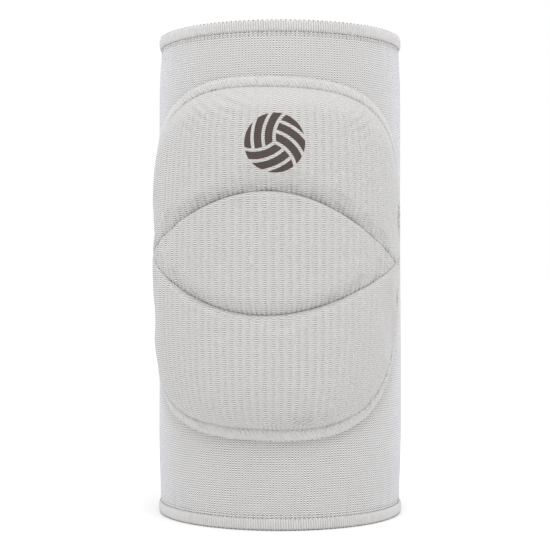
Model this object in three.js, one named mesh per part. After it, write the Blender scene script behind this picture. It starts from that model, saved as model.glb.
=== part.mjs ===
// A volleyball knee pad: a knitted elastic sleeve with a bound hem at each end, and a padded
// front of three foam-filled panels, sewn down all round under a band of overlock thread.
// Millimetres, +Z up. The front faces -Y and the sleeve stands on its lower hem, round as worn.

import * as THREE from "three";
import { mergeVertices } from "three/addons/utils/BufferGeometryUtils.js";

// Sleeve, over its outer face
const sleeveHeight = 235;
const sleeveWidth = 120;
const sleeveDepth = 118;
const sleeveWall = 2;

// Hem: thread wrapped over the sleeve's end, as a U in section
const hemHeight = 5.6;
const hemWrap = 0.9;
const hemFoot = 1.4;
const hemRounding = 0.5;

// Padded front, measured along the sleeve's face
const padWidth = 150;
const padTopMargin = 31.3;
const padBottomMargin = 46.7;
const padRoundness = 2.87; // exponent of the outline: 2 is an ellipse, larger is squarer
const padTurn = THREE.MathUtils.degToRad(2); // the pad is sewn on a little off level
const padLean = THREE.MathUtils.degToRad(3.5); // and a little off upright
const padThickness = 14;
const padRimThickness = 1.8;
const padTopRun = 17; // how far in from the top and bottom seam the foam reaches full thickness
const padSideRun = 58; // and from the seam at each side

// Middle panel, a lens between two grooves that meet short of the pad's sides
const lensSpan = 132;
const lensRise = 30.3;
const lensDrop = 26.4;
const lensPoint = 1.2; // 1 is a plain cosine arch, more makes the lens's ends more pointed
const lensTip = 3; // height of the lens's blunt ends
const grooveGap = 0.6;
const grooveRun = 8; // how far from the groove the foam is full again
const grooveFloor = 0.45; // share of the pad's thickness left at the bottom of a groove
const sideTip = 8; // height of the blunt side end of the panels above and below the lens

// Band of overlock thread round the pad
const borderWidth = 5;
const borderThickness = 1.4;
const borderSquareness = 0.6; // 1 makes the band round in section, less makes it squarer

// Clearance between neighbouring pieces
const pieceGap = 0.3;

// Fineness of the meshes
const sleeveSides = 60;
const panelColumns = 32;
const panelRows = 10;
const borderSteps = 96;
const borderSides = 8;
const outlineDivisions = 2000;

// The sleeve's profile: share of its height, and girth as a share of the width and depth.
// The elastic draws it in beside each hem.
const sleeveSections = [
  { height: 0, girth: 0.99 },
  { height: 0.035, girth: 0.988 },
  { height: 0.07, girth: 0.984 },
  { height: 0.11, girth: 0.994 },
  { height: 0.16, girth: 1 },
  { height: 0.9, girth: 1 },
  { height: 0.935, girth: 0.992 },
  { height: 0.965, girth: 0.983 },
  { height: 1, girth: 0.985 },
];

const meanRadius = (sleeveWidth + sleeveDepth) / 4;
const sleeveEnd = hemFoot + pieceGap;
const padHalfWidth = padWidth / 2;
const lensHalfSpan = lensSpan / 2;
const padHalfHeight = (sleeveHeight - padTopMargin - padBottomMargin) / 2;
const padCentre = padBottomMargin + padHalfHeight;

const colours = {
  knit: 0xdad9d7,
  ribbedKnit: 0xd6d5d3,
  thread: 0xe0dfdd,
};

function fabric(colour) {
  return new THREE.MeshStandardMaterial({ color: colour, roughness: 0.92, metalness: 0 });
}

// Girth of the sleeve at a height, straight between the rows of its table.
function girthAt(height) {
  const share = THREE.MathUtils.clamp(height / sleeveHeight, 0, 1);
  const next = Math.max(1, sleeveSections.findIndex((row) => row.height >= share));
  const below = sleeveSections[next - 1];
  const above = sleeveSections[next];
  const part = (share - below.height) / (above.height - below.height);
  return THREE.MathUtils.lerp(below.girth, above.girth, part);
}

// A spot on the sleeve: so far round from the middle of the front, so high, so far out of its face.
function onSleeve(around, height, out) {
  const angle = around / meanRadius;
  const halfWidth = (sleeveWidth / 2) * girthAt(height);
  const halfDepth = (sleeveDepth / 2) * girthAt(height);
  const face = new THREE.Vector2(Math.sin(angle) / halfWidth, -Math.cos(angle) / halfDepth);
  face.normalize();
  return new THREE.Vector3(
    halfWidth * Math.sin(angle) + face.x * out,
    -halfDepth * Math.cos(angle) + face.y * out,
    height,
  );
}

// A spot on the pad, from its own centre and slanted as it is sewn.
function onPad(across, up, out) {
  const around = across * Math.cos(padTurn) + up * Math.sin(padLean);
  const height = padCentre + up * Math.cos(padLean) - across * Math.sin(padTurn);
  return onSleeve(around, height, out);
}

// Turns a primitive whose points have been moved into one closed surface.
function closed(geometry) {
  geometry.deleteAttribute("normal");
  geometry.deleteAttribute("uv");
  const merged = mergeVertices(geometry);
  merged.computeVertexNormals();
  return merged;
}

// A ring round the sleeve's axis from a closed profile of radii and heights, oval as the sleeve is.
function ovalRing(profile) {
  const ring = new THREE.LatheGeometry([...profile, profile[0]], sleeveSides);
  ring.rotateX(Math.PI / 2);
  ring.scale(1, sleeveDepth / sleeveWidth, 1);
  return closed(ring);
}

function sleeveGeometry() {
  const heights = sleeveSections.map((row) =>
    THREE.MathUtils.clamp(row.height * sleeveHeight, sleeveEnd, sleeveHeight - sleeveEnd),
  );
  const outer = heights.map((z) => new THREE.Vector2((sleeveWidth / 2) * girthAt(z), z));
  const inner = outer.map((spot) => new THREE.Vector2(spot.x - sleeveWall, spot.y));
  return ovalRing([...outer, ...inner.reverse()]);
}

// The hem's U in section, clear of the sleeve's end by the gap, for either end of the sleeve.
function hemGeometry(atTop) {
  const girthHeight = atTop ? sleeveHeight : 0;
  const outerFace = (sleeveWidth / 2) * girthAt(girthHeight);
  const channelOut = outerFace + pieceGap;
  const channelIn = outerFace - sleeveWall - pieceGap;
  const out = channelOut + hemWrap;
  const into = channelIn - hemWrap;
  const section = [
    [into + hemRounding, 0],
    [out - hemRounding, 0],
    [out, hemRounding],
    [out, hemHeight - hemRounding],
    [out - hemRounding, hemHeight],
    [channelOut, hemHeight],
    [channelOut, hemFoot],
    [channelIn, hemFoot],
    [channelIn, hemHeight],
    [into + hemRounding, hemHeight],
    [into, hemHeight - hemRounding],
    [into, hemRounding],
  ];
  const profile = section.map(([r, z]) => new THREE.Vector2(r, atTop ? sleeveHeight - z : z));
  return ovalRing(atTop ? profile.reverse() : profile);
}

// The pad's outline is a squared ellipse.
function outlineHeight(across) {
  const share = Math.min(Math.abs(across) / padHalfWidth, 1);
  return padHalfHeight * (1 - share ** padRoundness) ** (1 / padRoundness);
}

function outlineWidth(up) {
  const share = Math.min(Math.abs(up) / padHalfHeight, 1);
  return padHalfWidth * (1 - share ** padRoundness) ** (1 / padRoundness);
}

// Each groove is a cosine arch between the ends of the lens. Past them both run level, as one.
function grooveBow(across) {
  const share = Math.min(Math.abs(across) / lensHalfSpan, 1);
  return Math.cos((Math.PI / 2) * share) ** lensPoint;
}

const upperGroove = (across) => lensRise * grooveBow(across);
const lowerGroove = (across) => -lensDrop * grooveBow(across);

// A rounded shoulder: 0 at an edge, level and 1 from the run onwards.
function shoulder(share) {
  const x = THREE.MathUtils.clamp(share, 0, 1);
  return x * (2 - x);
}

// Thickness of the padding at a spot of the pad, thin at the seam and in the grooves.
function paddingAt(across, up) {
  const fromTop = Math.max(outlineHeight(across) - Math.abs(up), 0) / padTopRun;
  const fromSide = Math.max(outlineWidth(up) - Math.abs(across), 0) / padSideRun;
  const fromSeam = (fromTop * fromSide) / (Math.hypot(fromTop, fromSide) || 1);
  const fromUpper = Math.abs(up - upperGroove(across)) / grooveRun;
  const fromLower = Math.abs(up - lowerGroove(across)) / grooveRun;
  const groove = grooveFloor + (1 - grooveFloor) * shoulder(fromUpper) * shoulder(fromLower);
  return padRimThickness + (padThickness - padRimThickness) * shoulder(fromSeam) * groove;
}

// Moulds a plain box into a panel that lies on the sleeve between a lower and an upper edge.
function panelGeometry(halfSpan, lowerEdge, upperEdge) {
  const box = new THREE.BoxGeometry(1, 1, 1, panelColumns, panelRows, 1);
  const spots = box.getAttribute("position");
  for (let i = 0; i < spots.count; i++) {
    const across = halfSpan * Math.sin(Math.PI * spots.getX(i));
    const share = (1 + Math.sin(Math.PI * spots.getY(i))) / 2;
    const up = THREE.MathUtils.lerp(lowerEdge(across), upperEdge(across), share);
    const padding = spots.getZ(i) > 0 ? paddingAt(across, up) : 0;
    spots.setXYZ(i, ...onPad(across, up, pieceGap + padding));
  }
  return closed(box);
}

// The panels above and below the lens end at the sides in a blunt tip.
const panelHalfSpan = padHalfWidth * (1 - (sideTip / padHalfHeight) ** padRoundness) ** (1 / padRoundness);

function upperPanelGeometry() {
  return panelGeometry(panelHalfSpan, (across) => upperGroove(across) + grooveGap / 2, outlineHeight);
}

function lowerPanelGeometry() {
  const outline = (across) => -outlineHeight(across);
  return panelGeometry(panelHalfSpan, outline, (across) => lowerGroove(across) - grooveGap / 2);
}

function lensGeometry() {
  const tipBow = (lensTip + grooveGap) / (lensRise + lensDrop);
  const halfSpan = (lensHalfSpan * Math.acos(tipBow ** (1 / lensPoint))) / (Math.PI / 2);
  return panelGeometry(
    halfSpan,
    (across) => lowerGroove(across) + grooveGap / 2,
    (across) => upperGroove(across) - grooveGap / 2,
  );
}

class PadOutline extends THREE.Curve {
  getPoint(share, target = new THREE.Vector3()) {
    const angle = 2 * Math.PI * share;
    const squared = (x) => Math.sign(x) * Math.abs(x) ** (2 / padRoundness);
    return target.set(
      padHalfWidth * squared(Math.cos(angle)),
      padHalfHeight * squared(Math.sin(angle)),
      0,
    );
  }
}

// Moulds a plain torus into a flat band that runs round the pad, just outside its outline.
function borderGeometry() {
  const outline = new PadOutline();
  outline.arcLengthDivisions = outlineDivisions;
  const plainRadius = 2; // of the plain torus, whose tube's radius is 1
  const ring = new THREE.TorusGeometry(plainRadius, 1, borderSides, borderSteps);
  const spots = ring.getAttribute("position");
  const squared = (x) => Math.sign(x) * Math.abs(x) ** borderSquareness;
  for (let i = 0; i < spots.count; i++) {
    const turn = Math.atan2(spots.getY(i), spots.getX(i)) / (2 * Math.PI);
    const step = Math.round(turn * borderSteps + borderSteps) % borderSteps;
    const seam = outline.getPointAt(step / borderSteps);
    const along = outline.getTangentAt(step / borderSteps);
    const sideways = squared(Math.hypot(spots.getX(i), spots.getY(i)) - plainRadius);
    const outwards = squared(spots.getZ(i));
    const clear = pieceGap + (borderWidth * (1 + sideways)) / 2;
    const out = pieceGap + (borderThickness * (1 + outwards)) / 2;
    spots.setXYZ(i, ...onPad(seam.x + along.y * clear, seam.y - along.x * clear, out));
  }
  return closed(ring);
}

function piece(name, geometry, colour) {
  const mesh = new THREE.Mesh(geometry, fabric(colour));
  mesh.name = name;
  return mesh;
}

const kneePad = new THREE.Group();
kneePad.add(
  piece("sleeve", sleeveGeometry(), colours.knit),
  piece("top_hem", hemGeometry(true), colours.thread),
  piece("bottom_hem", hemGeometry(false), colours.thread),
  piece("upper_pad", upperPanelGeometry(), colours.ribbedKnit),
  piece("lens_pad", lensGeometry(), colours.ribbedKnit),
  piece("lower_pad", lowerPanelGeometry(), colours.ribbedKnit),
  piece("pad_border", borderGeometry(), colours.thread),
);

// The origin is under the middle of the whole, on the surface that it stands on.
const whole = new THREE.Box3().setFromObject(kneePad);
const middle = whole.getCenter(new THREE.Vector3());
kneePad.position.set(-middle.x, -middle.y, -whole.min.z);

export default kneePad;
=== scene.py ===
# Volleyball knee pad: the finish of the knitted sleeve, its wrapped hems and its padded front,
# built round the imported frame. Metres, +Z up, the padded front faces -Y.
import math

import bpy
import numpy as np
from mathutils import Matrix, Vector


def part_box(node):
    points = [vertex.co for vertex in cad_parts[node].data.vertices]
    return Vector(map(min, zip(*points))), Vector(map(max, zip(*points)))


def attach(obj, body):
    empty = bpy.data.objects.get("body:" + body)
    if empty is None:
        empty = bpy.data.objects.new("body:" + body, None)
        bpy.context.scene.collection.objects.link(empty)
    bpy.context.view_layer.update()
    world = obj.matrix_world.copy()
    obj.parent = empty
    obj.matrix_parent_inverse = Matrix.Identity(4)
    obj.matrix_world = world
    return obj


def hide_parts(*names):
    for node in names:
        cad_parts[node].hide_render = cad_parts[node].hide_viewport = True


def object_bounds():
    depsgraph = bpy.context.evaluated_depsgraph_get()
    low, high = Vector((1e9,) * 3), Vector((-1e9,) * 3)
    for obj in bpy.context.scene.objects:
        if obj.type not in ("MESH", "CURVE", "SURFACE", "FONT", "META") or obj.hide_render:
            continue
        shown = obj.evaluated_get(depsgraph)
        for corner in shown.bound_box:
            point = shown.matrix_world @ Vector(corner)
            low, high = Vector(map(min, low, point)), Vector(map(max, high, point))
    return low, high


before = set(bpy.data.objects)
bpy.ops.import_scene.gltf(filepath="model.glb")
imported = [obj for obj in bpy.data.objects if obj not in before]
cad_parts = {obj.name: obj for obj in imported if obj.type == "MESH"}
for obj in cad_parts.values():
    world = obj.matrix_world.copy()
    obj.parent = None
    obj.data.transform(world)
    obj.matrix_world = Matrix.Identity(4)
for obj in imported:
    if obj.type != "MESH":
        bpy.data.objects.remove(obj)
frameLow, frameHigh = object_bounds()
mm = 0.001

# Sleeve, as the frame has it
sleeveLow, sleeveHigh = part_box("sleeve")
tube = {
    "height": frameHigh.z - frameLow.z,
    "middleX": (sleeveLow.x + sleeveHigh.x) / 2,
    "middleY": (sleeveLow.y + sleeveHigh.y) / 2,
    "halfWidth": (sleeveHigh.x - sleeveLow.x) / 2,
    "halfDepth": (sleeveHigh.y - sleeveLow.y) / 2,
    "endGap": sleeveLow.z,
    "wall": 2 * mm,
    "softening": 3 * mm,    # how far the bends of the profile below are eased
}
tube["meanRadius"] = (tube["halfWidth"] + tube["halfDepth"]) / 2
tube["girth"] = 2 * math.pi * tube["meanRadius"]

# Share of the height, and girth as a share of the full one: drawn in beside each hem
tubeProfile = {
    "height": [0, 0.035, 0.07, 0.11, 0.16, 0.9, 0.935, 0.965, 1],
    "girth": [0.99, 0.992, 0.996, 1.003, 1.006, 1, 0.994, 0.986, 0.985],
}


def girthAt(height):
    # the mean over a few heights close by, which eases the profile's bends
    near = [(height + step) / tube["height"] for step in np.linspace(-1, 1, 7) * tube["softening"]]
    girths = [np.interp(share, tubeProfile["height"], tubeProfile["girth"]) for share in near]
    return np.mean(girths, axis=0)


def onSleeve(around, height, out):
    # so far round from the middle of the front, so high, so far out of the sleeve's face
    around, height, out = np.broadcast_arrays(around, height, out)
    angle = around / tube["meanRadius"]
    girth = girthAt(height)
    halfWidth, halfDepth = tube["halfWidth"] * girth, tube["halfDepth"] * girth
    faceX, faceY = np.sin(angle) / halfWidth, -np.cos(angle) / halfDepth
    length = np.hypot(faceX, faceY)
    x = tube["middleX"] + halfWidth * np.sin(angle) + faceX / length * out
    y = tube["middleY"] - halfDepth * np.cos(angle) + faceY / length * out
    return np.stack([x, y, height], axis=-1)


# Padded front, measured along the sleeve's face
pad = {
    "halfWidth": 75 * mm,
    "topMargin": 31.3 * mm,
    "bottomMargin": 46.7 * mm,
    "roundness": 2.87,
    "turn": math.radians(2),
    "lean": math.radians(3.5),
    "gap": 0.3 * mm,
    "thickness": 14 * mm,
    "rim": 1.8 * mm,
    "topRun": 17 * mm,
    "sideRun": 58 * mm,
    "lensHalf": 66 * mm,
    "lensRise": 30.3 * mm,
    "lensDrop": 25.9 * mm,
    "upperPoint": 1.38,      # how far each groove's curve draws in to a point at its ends
    "lowerPoint": 1.3,
    "lensTip": 0.6 * mm,
    "grooveGap": 0.12 * mm,
    "runAbove": 8.5 * mm,    # the cover slopes down to a groove from above
    "runBelow": 3 * mm,      # and stands up from it more steeply below
    "upperFloor": 0.7,       # share of the foam left in each groove
    "lowerFloor": 0.73,
    "grooveTip": 0.97,       # the grooves run out to almost nothing at the lens's tips,
    "runOut": (0.35, 0.98),  # over these shares of the lens's half length
    "sideTip": 8 * mm,
    "taper": 0.019,          # the pad is a little wider at the top than at the bottom
    "standOff": 1.6 * mm,    # the stiff foam stands off the sleeve at one corner,
    "standLeft": (45 * mm, 70 * mm),    # more and more as it goes left
    "standUp": (10 * mm, 55 * mm),      # and up
}
pad["halfHeight"] = (tube["height"] - pad["topMargin"] - pad["bottomMargin"]) / 2
pad["centre"] = pad["bottomMargin"] + pad["halfHeight"]
# The cover lies on a wider round than the sleeve
pad["spread"] = 1 + pad["thickness"] / tube["meanRadius"]


def smoothStep(value, low, high):
    x = np.clip((value - low) / (high - low), 0, 1)
    return x * x * (3 - 2 * x)


def onPad(across, up, out):
    across, up, out = np.broadcast_arrays(across, up, out)
    away = smoothStep(-across, *pad["standLeft"]) * smoothStep(up, *pad["standUp"])
    out = out + pad["standOff"] * away * np.clip(out / mm, 0, 1)
    across = across * (1 + pad["taper"] * up / pad["halfHeight"])
    around = across * math.cos(pad["turn"]) + up * math.sin(pad["lean"])
    height = pad["centre"] + up * math.cos(pad["lean"]) - across * math.sin(pad["turn"])
    return onSleeve(around, height, out)


def squared(share):
    return np.maximum(1 - np.clip(np.abs(share), 0, 1) ** pad["roundness"], 0) ** (1 / pad["roundness"])


border = {
    "width": 5 * mm,
    "overlap": 0.25 * mm,     # how far the band runs in under the seam
    "high": 2.05 * mm,        # at the seam
    "low": 1.05 * mm,         # at the outer edge
    "crown": 0.25 * mm,       # how far it swells between them
    "coreSink": 0.04 * mm,    # how far the band lies below that height
    "thread": 0.54 * mm,
    "threadSink": 0.12 * mm,  # and the threads' middle lines
    "threadPitch": 1.08 * mm,
    "tuck": 0.3 * mm,         # how much further in the threads start than they end
    "sink": 1.5 * mm,         # how deep the band's underside lies in the sleeve's wall
    "skirt": 0.1 * mm,        # how much wider the band's underside is
    "loop": 0.5 * mm,
    "loopPitch": 2.4 * mm,
    "loopShare": 0.94,        # a loop's length, of the pitch
    "loopIn": 0.1 * mm,       # how far inside the outer edge the loops lie,
    "loopHigh": 0.8,          # and how high, of the edge's height
    "steps": 640,
    "bandSteps": 9,
    "threadSteps": 10,
}


def outlineHeight(across):
    return pad["halfHeight"] * squared(across / pad["halfWidth"])


def outlineWidth(up):
    return pad["halfWidth"] * squared(up / pad["halfHeight"])


def grooveBow(across):
    share = np.minimum(np.abs(across) / pad["lensHalf"], 1)
    return np.maximum(np.cos(math.pi / 2 * share), 0)


def upperGroove(across):
    return pad["lensRise"] * grooveBow(across) ** pad["upperPoint"]


def lowerGroove(across):
    return -pad["lensDrop"] * grooveBow(across) ** pad["lowerPoint"]


def shoulder(share):
    x = np.clip(share, 0, 1)
    return x * (2 - x)


def paddingAt(across, up):
    fromTop = np.maximum(outlineHeight(across) - np.abs(up), 0) / pad["topRun"]
    fromSide = np.maximum(outlineWidth(up) - np.abs(across), 0) / pad["sideRun"]
    fromSeam = fromTop * fromSide / np.maximum(np.hypot(fromTop, fromSide), 1e-9)
    left = 1.0
    ranOut = smoothStep(np.abs(across) / pad["lensHalf"], *pad["runOut"])
    for line, floor in ((upperGroove(across), pad["upperFloor"]), (lowerGroove(across), pad["lowerFloor"])):
        fromLine = np.where(up > line, (up - line) / pad["runAbove"], (line - up) / pad["runBelow"])
        floor = floor + (pad["grooveTip"] - floor) * ranOut
        left = left * (floor + (1 - floor) * shoulder(fromLine))
    return pad["rim"] + (pad["thickness"] - pad["rim"]) * shoulder(fromSeam) * left


# Node helpers, for materials and Geometry Nodes alike

def addNode(tree, kind, inputs=None, **settings):
    node = tree.nodes.new(kind)
    for name, value in settings.items():
        setattr(node, name, value)
    for name, value in (inputs or {}).items():
        if isinstance(value, bpy.types.NodeSocket):
            tree.links.new(value, node.inputs[name])
        else:
            node.inputs[name].default_value = value
    return node


def outOf(tree, kind, inputs=None, **settings):
    # adds a node and gives its first output
    return addNode(tree, kind, inputs, **settings).outputs[0]


def calc(tree, operation, *values):
    return outOf(tree, "ShaderNodeMath", dict(enumerate(values)), operation=operation)


def times(tree, one, other):
    return calc(tree, "MULTIPLY", one, other)


def timesPlus(tree, one, other, more):
    return calc(tree, "MULTIPLY_ADD", one, other, more)


def ripple(tree, value, pitch):
    return calc(tree, "COSINE", times(tree, value, 2 * math.pi / pitch))


def blendBy(tree, share, low, high):
    return timesPlus(tree, share, high - low, low)


def smoothed(tree, value, low, high):
    return outOf(tree, "ShaderNodeMapRange", {"Value": value, "From Min": low, "From Max": high},
                 interpolation_type="SMOOTHSTEP")


def noiseAt(tree, spot, scale, detail):
    return outOf(tree, "ShaderNodeTexNoise", {"Vector": spot, "Scale": scale, "Detail": detail})


def vectorCalc(tree, operation, inputs, output=0):
    return addNode(tree, "ShaderNodeVectorMath", inputs, operation=operation).outputs[output]


def mixOf(tree, share, dark, light):
    # a colour between two, each either a colour or a node's output
    node = addNode(tree, "ShaderNodeMix", {"Factor": share}, data_type="RGBA")
    for socket, colour in ((node.inputs[6], dark), (node.inputs[7], light)):
        if isinstance(colour, bpy.types.NodeSocket):
            tree.links.new(colour, socket)
        else:
            socket.default_value = (*colour, 1)
    return node.outputs[2]


def scaledColour(colour, share):
    return [min(c * share, 1) for c in colour]


# Materials

def fabricMaterial(name, colour, sheen):
    material = bpy.data.materials.new(name)
    material.use_nodes = True
    shader = material.node_tree.nodes["Principled BSDF"]
    shader.inputs["Base Color"].default_value = (*colour, 1)
    shader.inputs["Roughness"].default_value = 0.92
    shader.inputs["Specular IOR Level"].default_value = 0.18
    shader.inputs["Sheen Weight"].default_value = sheen
    shader.inputs["Sheen Roughness"].default_value = 0.45
    shader.inputs["Sheen Tint"].default_value = (0.93, 0.92, 1, 1)
    material.diffuse_color = (*colour, 1)
    return material


def fabricPlace(tree, waver):
    # the piece's own map in metres, a little uneven as knitting is
    place = outOf(tree, "ShaderNodeUVMap", uv_map="fabric")
    spot = addNode(tree, "ShaderNodeTexCoord").outputs["Object"]
    noise = addNode(tree, "ShaderNodeTexNoise", {"Vector": spot, "Scale": waver["scale"], "Detail": 1.0})
    shift = vectorCalc(tree, "SUBTRACT", {0: noise.outputs["Color"], 1: (0.5, 0.5, 0.5)})
    scaled = vectorCalc(tree, "SCALE", {0: shift, "Scale": waver["size"]})
    parts = addNode(tree, "ShaderNodeSeparateXYZ", {0: vectorCalc(tree, "ADD", {0: place, 1: scaled})})
    return spot, parts.outputs[0], parts.outputs[1]


def finishFabric(material, relief, shade, colour, look):
    # relief drives the bump and shade the colour, both from 0 to 1, as deep and as dark as the look says
    tree = material.node_tree
    shader = tree.nodes["Principled BSDF"]
    mixed = mixOf(tree, shade, scaledColour(colour, look["dark"]), scaledColour(colour, look["light"]))
    tree.links.new(mixed, shader.inputs["Base Color"])
    bump = outOf(tree, "ShaderNodeBump", {"Height": relief, "Strength": 1.0, "Distance": look["depth"]})
    tree.links.new(bump, shader.inputs["Normal"])
    return mixed


sleeveCloth = {
    "colour": (0.58, 0.572, 0.562),
    "wale": tube["girth"] / 258,
    "course": 1.07 * mm,
    "depth": 0.25 * mm,
    "dark": 0.05,
    "light": 1.62,
    "sheen": 1.0,
    "waver": {"scale": 55, "size": 1.2 * mm},
    "seeds": 0.38,             # what the bumps and the courses add to the relief
    "courses": 0.18,
    "middle": 0.55,            # of the way from dark to light
    "patchScale": 230.0,
    "patches": (0.35, 0.62),
    "strength": (0.55, 1.15),  # of the shading, from patch to patch
    "upperStrength": 0.82,
    "fullBelow": 0.25,         # share of the height
}


def sleeveMaterial():
    # seed-like purl: bumps set corner to corner, with the courses showing through
    material = fabricMaterial("sleeve_knit", sleeveCloth["colour"], sleeveCloth["sheen"])
    tree = material.node_tree
    spot, around, height = fabricPlace(tree, sleeveCloth["waver"])
    courses = ripple(tree, height, sleeveCloth["course"])
    seeds = times(tree, ripple(tree, around, sleeveCloth["wale"]), courses)
    patchy = smoothed(tree, noiseAt(tree, spot, sleeveCloth["patchScale"], 2.0), *sleeveCloth["patches"])
    woven = timesPlus(tree, seeds, sleeveCloth["seeds"], times(tree, courses, sleeveCloth["courses"]))
    relief = calc(tree, "ADD", woven, 0.5)
    lower = smoothed(tree, height, tube["height"], sleeveCloth["fullBelow"] * tube["height"])
    strength = times(tree, blendBy(tree, patchy, *sleeveCloth["strength"]),
                     blendBy(tree, lower, sleeveCloth["upperStrength"], 1.0))
    shade = timesPlus(tree, woven, strength, sleeveCloth["middle"])
    finishFabric(material, relief, shade, sleeveCloth["colour"], sleeveCloth)
    return material


panelMesh = {
    "columns": 500,
    "upperRows": 96,
    "lensRows": 90,
    "lowerRows": 100,
    "backRows": 6,
    "roughColumns": 48,
    "roughRows": 20,
    "frames": 20,             # of the simulation
    "cap": 0.9 * mm,          # how far it may move the cloth
    "seamPitch": 2.3 * mm,    # each stitch of a seam draws the cover in a little
    "seamPull": 0.6 * mm,
    "seamRun": 2.6 * mm,
    "pullAbove": 0.15,
    "pullRange": (0.45, 1.15),          # how unevenly it pulls along the seam
    "pullSpots": 90,
    "pullSide": (0.5 * mm, 7 * mm),     # and how it fades at the pad's sides
}

padCloth = {
    "colour": (0.565, 0.558, 0.547),
    "rib": 3.75 * mm,
    "course": 0.95 * mm,
    "dot": 1.15 * mm,          # single stitches, seen most where the ribs draw flat
    "depth": 0.2 * mm,
    "dark": 0.22,
    "light": 1.46,
    "waver": {"scale": 55, "size": 0.9 * mm},
    "plain": (22 * mm, 48 * mm),      # the ribs draw flat towards the right side of the pad and the knit's shading is stronger towards its left side
    "leftSide": (-35 * mm, -72 * mm),    # and stand out more towards its left side
    "crown": (-0.98, -0.5),    # which part of a rib's ripple is crown
    "split": (-0.9, 0.2),      # and which part of half a rib's ripple is stitches
    "between": 0.72,           # strength between a rib's two columns of stitches
    "level": 0.6,              # strength of stitches that lie evenly over ribs and channels,
    "evenness": (0.5, 1.0),    # and how far all of them come to it, ribbed and plain
    "evenShare": 0.8,
    "dashes": 0.36,            # what the ribs' dashes and the half courses add to the relief
    "seeds": 0.25,
    "tightRib": {"scale": 190.0, "run": 0.16, "range": (0.35, 0.62)},
    "mottle": {"scale": 300.0, "share": 0.5, "range": (0.35, 0.65)},
    "strength": (0.68, 0.84),  # of the shading, from patch to patch
    "sideStrength": {"middle": 0.9, "plain": -0.25, "leftSide": 0.5},
    "ribShade": {"middle": 0.565, "rib": -0.035},
    "grain": {"scale": 1700.0, "strength": (0.42, 0.6)},
    "dots": {"share": 0.14, "strength": (0.5, 1.0)},
    "foldShade": 0.24,              # painted shade: how much darker the folds at the stitches are painted inside, and which part of their ripple that is
    "foldShadeRange": (0.1, -0.9),  # and which part of their ripple that is
    "sheen": 0.35,
}


def padMaterial(name, printed):
    # broad ribs crossed by short courses, with a plainer channel between them
    material = fabricMaterial(name, padCloth["colour"], padCloth["sheen"])
    tree = material.node_tree
    spot, across, up = fabricPlace(tree, padCloth["waver"])
    ribbed = addNode(tree, "ShaderNodeAttribute", attribute_name="ribbed").outputs["Fac"]
    courses = ripple(tree, up, padCloth["course"])
    plain = smoothed(tree, across, *padCloth["plain"])
    leftSide = smoothed(tree, across, *padCloth["leftSide"])
    crown = smoothed(tree, ripple(tree, across, padCloth["rib"]), *padCloth["crown"])
    split = smoothed(tree, ripple(tree, across, padCloth["rib"] / 2), *padCloth["split"])
    column = times(tree, crown, blendBy(tree, split, padCloth["between"], 1.0))
    toLevel = calc(tree, "SUBTRACT", padCloth["level"], column)
    evenly = times(tree, blendBy(tree, plain, *padCloth["evenness"]), toLevel)
    onRib = times(tree, timesPlus(tree, evenly, padCloth["evenShare"], column), ribbed)
    dashes = times(tree, courses, onRib)
    # each rib holds two columns of stitches, half a course apart
    halves = calc(tree, "SINE", times(tree, across, 2 * math.pi / padCloth["rib"]))
    seeds = times(tree, halves, courses)
    woven = timesPlus(tree, dashes, padCloth["dashes"], times(tree, seeds, padCloth["seeds"]))
    relief = calc(tree, "ADD", woven, 0.5)
    # some ribs lie tighter than others
    tightRib, mottle = padCloth["tightRib"], padCloth["mottle"]
    drawnOut = outOf(tree, "ShaderNodeCombineXYZ", {"X": across, "Y": times(tree, up, tightRib["run"])})
    perRib = smoothed(tree, noiseAt(tree, drawnOut, tightRib["scale"], 1.0), *tightRib["range"])
    perSpot = smoothed(tree, noiseAt(tree, spot, mottle["scale"], 2.0), *mottle["range"])
    patchy = timesPlus(tree, perSpot, mottle["share"], perRib)
    side = padCloth["sideStrength"]
    sides = timesPlus(tree, leftSide, side["leftSide"], timesPlus(tree, plain, side["plain"], side["middle"]))
    strength = times(tree, blendBy(tree, patchy, *padCloth["strength"]), sides)
    darker = timesPlus(tree, onRib, padCloth["ribShade"]["rib"], padCloth["ribShade"]["middle"])
    grain = calc(tree, "SUBTRACT", noiseAt(tree, spot, padCloth["grain"]["scale"], 1.0), 0.5)
    grainy = times(tree, grain, blendBy(tree, plain, *padCloth["grain"]["strength"]))
    dots = times(tree, ripple(tree, across, padCloth["dot"]), courses)
    dotted = times(tree, dots, blendBy(tree, plain, *padCloth["dots"]["strength"]))
    grainy = timesPlus(tree, dotted, padCloth["dots"]["share"], grainy)
    shade = calc(tree, "ADD", timesPlus(tree, woven, strength, darker), grainy)
    # painted shade: the folds at the stitches are painted darker inside, as far as the seam draws the cover
    # in
    drawn = addNode(tree, "ShaderNodeAttribute", attribute_name="drawn").outputs["Fac"]
    foldShade = smoothed(tree, ripple(tree, across, panelMesh["seamPitch"]), *padCloth["foldShadeRange"])
    shade = calc(tree, "SUBTRACT", shade, times(tree, times(tree, foldShade, drawn), padCloth["foldShade"]))
    mixed = finishFabric(material, relief, shade, padCloth["colour"], padCloth)
    if printed:
        printBall(tree, mixed, shade)
    return material


# A plain ball with curved seams, printed on the upper panel
ball = {
    "across": 4.9 * mm,
    "up": 51.5 * mm,
    "radius": 13.5 * mm,
    "line": 0.055,          # half width of a seam line, in radii
    "ink": (0.078, 0.062, 0.056),
    "bend": 1.05,           # radius of the seams that meet in the middle, in radii
    "steps": (0.36, 0.72),  # how far out the other seams run beside them
    "tilt": 20,
    "inkShades": (0.7, 1.3),
}


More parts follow.
